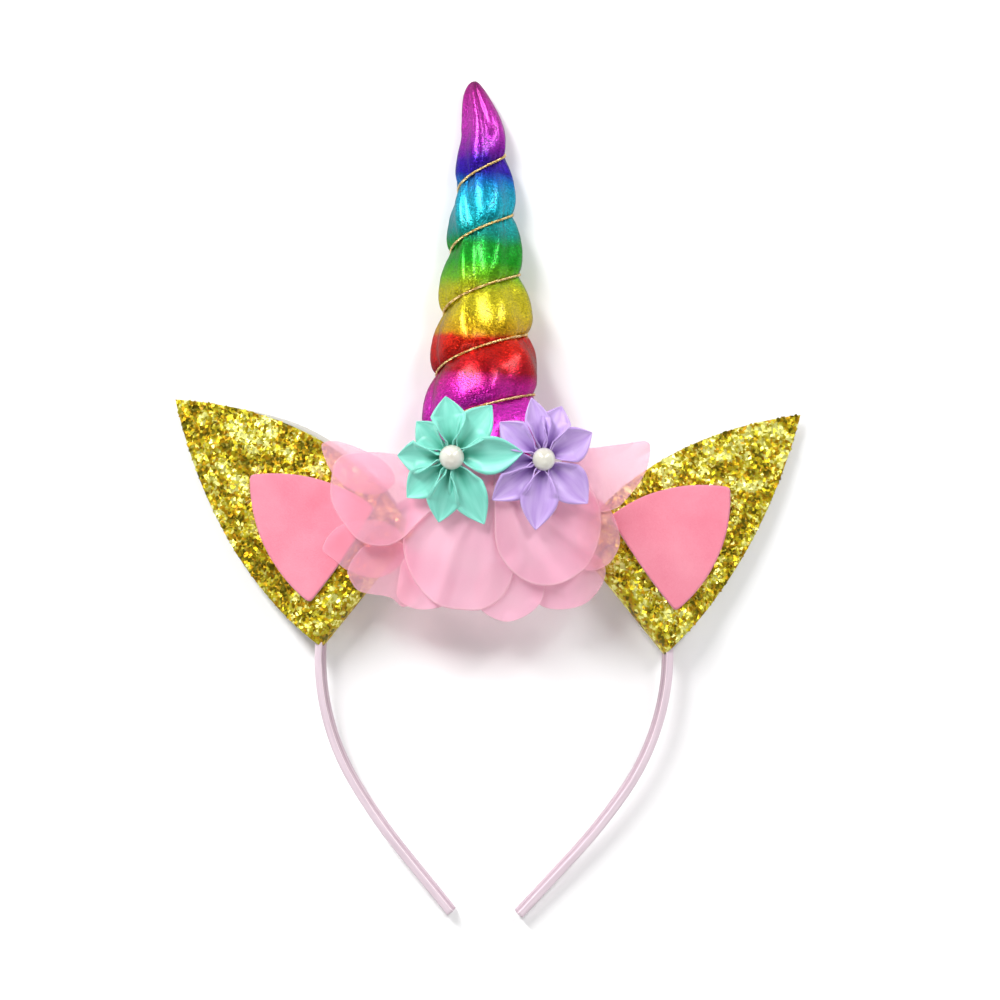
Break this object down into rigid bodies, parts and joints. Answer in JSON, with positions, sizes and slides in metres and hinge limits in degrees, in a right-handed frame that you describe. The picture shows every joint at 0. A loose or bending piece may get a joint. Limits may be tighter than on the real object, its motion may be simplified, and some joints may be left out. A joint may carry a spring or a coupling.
{
  "type": "unicorn horn headband",
  "caption": "Costume headband lying on its back: satin-covered band, stuffed rainbow foil horn, folded glitter ears, chiffon petals and satin ribbon flowers with pearls.",
  "frame": {"origin": "middle of the outline seen from above, on the floor that the headband lies on", "axes": "+X to the right as seen from the front, +Y towards the horn's tip, +Z out of the front, where the flowers are"},
  "size_m": [0.2106, 0.2858, 0.0588],
  "materials": {
    "pink_satin": "satin",
    "white_felt": "matte",
    "rainbow_foil": "gloss",
    "gold_thread": "gloss",
    "gold_glitter": "gloss",
    "pink_felt": "matte",
    "pink_chiffon": "matte",
    "mint_satin": "satin",
    "lilac_satin": "satin",
    "pearl": "gloss"
  },
  "bodies": {
    "root": {"band": "pink_satin", "felt_base": "white_felt", "horn": "rainbow_foil", "horn_cord": "gold_thread", "ear_left": "gold_glitter", "ear_right": "gold_glitter", "ear_inner_left": "pink_felt", "ear_inner_right": "pink_felt", "chiffon_left_round": "pink_chiffon", "chiffon_centre_right": "pink_chiffon", "chiffon_centre_left": "pink_chiffon", "chiffon_right_top": "pink_chiffon", "chiffon_lower_left_behind": "pink_chiffon", "chiffon_bottom_middle": "pink_chiffon", "chiffon_right_middle": "pink_chiffon", "chiffon_lower_left": "pink_chiffon", "chiffon_upper_left": "pink_chiffon", "chiffon_lower_right": "pink_chiffon", "chiffon_far_left": "pink_chiffon", "mint_petal_1": "mint_satin", "mint_petal_2": "mint_satin", "mint_petal_3": "mint_satin", "mint_petal_4": "mint_satin", "mint_petal_5": "mint_satin", "mint_petal_6": "mint_satin", "mint_petal_7": "mint_satin", "mint_petal_8": "mint_satin", "mint_pearl": "pearl", "lilac_petal_1": "lilac_satin", "lilac_petal_2": "lilac_satin", "lilac_petal_3": "lilac_satin", "lilac_petal_4": "lilac_satin", "lilac_petal_5": "lilac_satin", "lilac_petal_6": "lilac_satin", "lilac_petal_7": "lilac_satin", "lilac_petal_8": "lilac_satin", "lilac_pearl": "pearl"}
  },
  "joints": []
}
